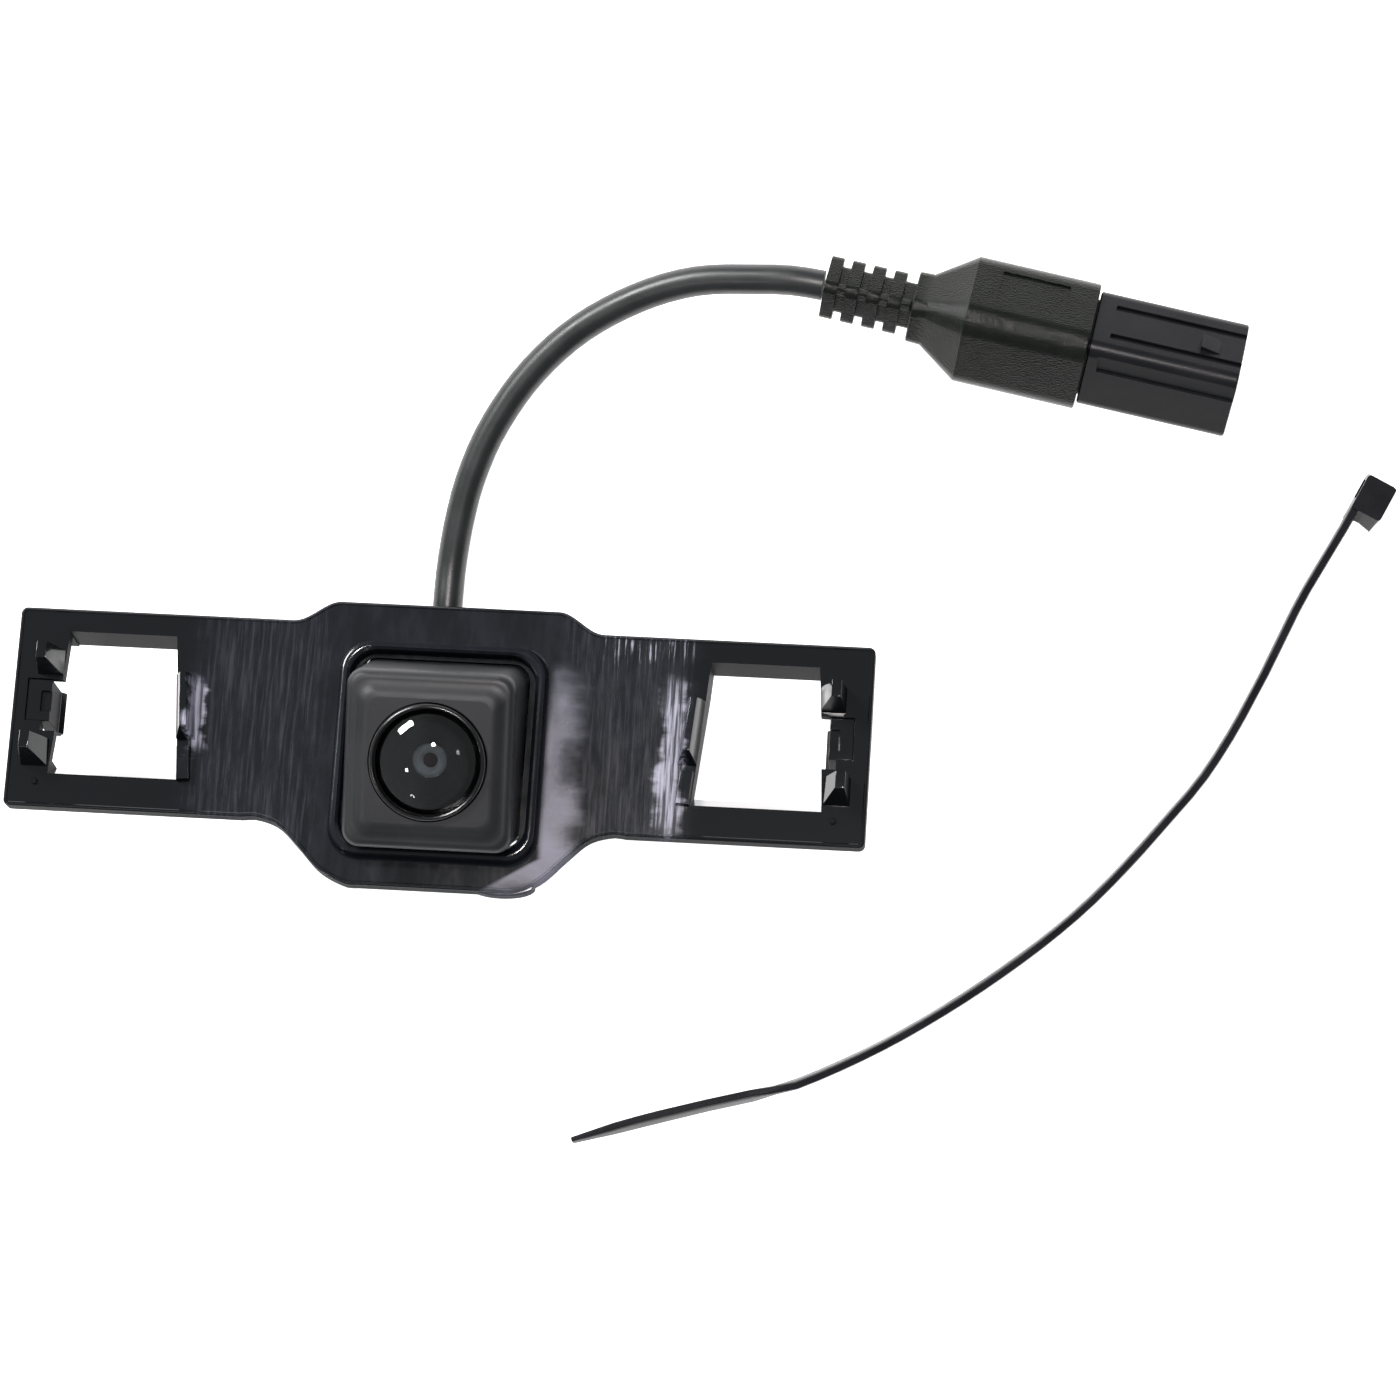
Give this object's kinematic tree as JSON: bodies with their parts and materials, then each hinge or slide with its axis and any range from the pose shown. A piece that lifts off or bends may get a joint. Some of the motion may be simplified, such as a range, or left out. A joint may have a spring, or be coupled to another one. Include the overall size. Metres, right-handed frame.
{
  "type": "reversing camera kit",
  "caption": "Wide-angle reversing camera head in a snap-in number plate lamp bracket, with a short lead to a moulded sealed connector and a loose cable tie.",
  "frame": {"origin": "centre of the rear cover's back face, on the camera's optical axis", "axes": "+Z along the optical axis out of the lens, +X along the bracket, +Y towards the bracket's upper edge and the cable outlet"},
  "size_m": [0.1848, 0.1242, 0.0291],
  "materials": {
    "bracket_plastic": "gloss, lightly scuffed",
    "housing_plastic": "satin",
    "lens_glass": "polished, coated",
    "barrel_metal": "black anodised",
    "screw_steel": "zinc plated",
    "seal_rubber": "matte",
    "circuit_board": "satin solder mask",
    "chip_plastic": "matte",
    "contact_brass": "gold plated",
    "cable_pvc": "satin",
    "wire_insulation": "satin",
    "overmould_pvc": "fine spark-eroded grain",
    "connector_nylon": "satin",
    "tie_nylon": "gloss"
  },
  "bodies": {
    "camera_bracket": {"lamp_bracket": "bracket_plastic", "rear_cover": "housing_plastic", "front_housing": "housing_plastic", "front_lens": "lens_glass", "inner_lens_front": "lens_glass", "inner_lens_rear": "lens_glass", "infrared_filter": "lens_glass", "lens_bezel": "barrel_metal", "lens_barrel": "barrel_metal", "aperture_stop": "barrel_metal", "housing_screw_1": "screw_steel", "housing_screw_2": "screw_steel", "housing_screw_3": "screw_steel", "housing_screw_4": "screw_steel", "left_bracket_screw": "screw_steel", "right_bracket_screw": "screw_steel", "lens_o_ring": "seal_rubber", "housing_gasket": "seal_rubber", "cable_gland": "seal_rubber", "connector_seal": "seal_rubber", "sensor_board": "circuit_board", "power_board": "circuit_board", "board_connector": "chip_plastic", "video_processor": "chip_plastic", "image_sensor": "chip_plastic", "contact_pin_1": "contact_brass", "contact_pin_2": "contact_brass", "contact_pin_3": "contact_brass", "contact_pin_4": "contact_brass", "camera_cable": "cable_pvc", "lead_power": "wire_insulation", "lead_ground": "wire_insulation", "lead_video": "wire_insulation", "lead_guide_line": "wire_insulation", "strain_relief": "overmould_pvc", "plug_overmould": "overmould_pvc", "connector_housing": "connector_nylon", "pin_carrier": "connector_nylon", "lens_holder": "connector_nylon"},
    "left_tongue": {"left_snap_tongue": "bracket_plastic"},
    "right_tongue": {"right_snap_tongue": "bracket_plastic"},
    "tie": {"cable_tie": "tie_nylon"},
    "pawl": {"tie_pawl": "tie_nylon"}
  },
  "joints": [
    {"name": "left_tongue_flex", "type": "hinge", "parent": "camera_bracket", "child": "left_tongue", "pos_m": [-0.05575, -0.00029, 0.01415], "axis": [0, 0.9455, -0.3256], "range_deg": [0, 8], "stiffness_Nm_per_rad": 0.02},
    {"name": "right_tongue_flex", "type": "hinge", "parent": "camera_bracket", "child": "right_tongue", "pos_m": [0.05575, -0.00029, 0.01415], "axis": [0, -0.9455, 0.3256], "range_deg": [0, 8], "stiffness_Nm_per_rad": 0.02},
    {"name": "tie_lift", "type": "slide", "parent": "camera_bracket", "child": "tie", "axis": [0, 0, 1], "range_m": [0, 0.05]},
    {"name": "tie_pawl_flex", "type": "hinge", "parent": "tie", "child": "pawl", "pos_m": [0.12288, 0.04102, 0.0025], "axis": [0, 0, 1], "range_deg": [0, 6], "stiffness_Nm_per_rad": 0.002}
  ]
}
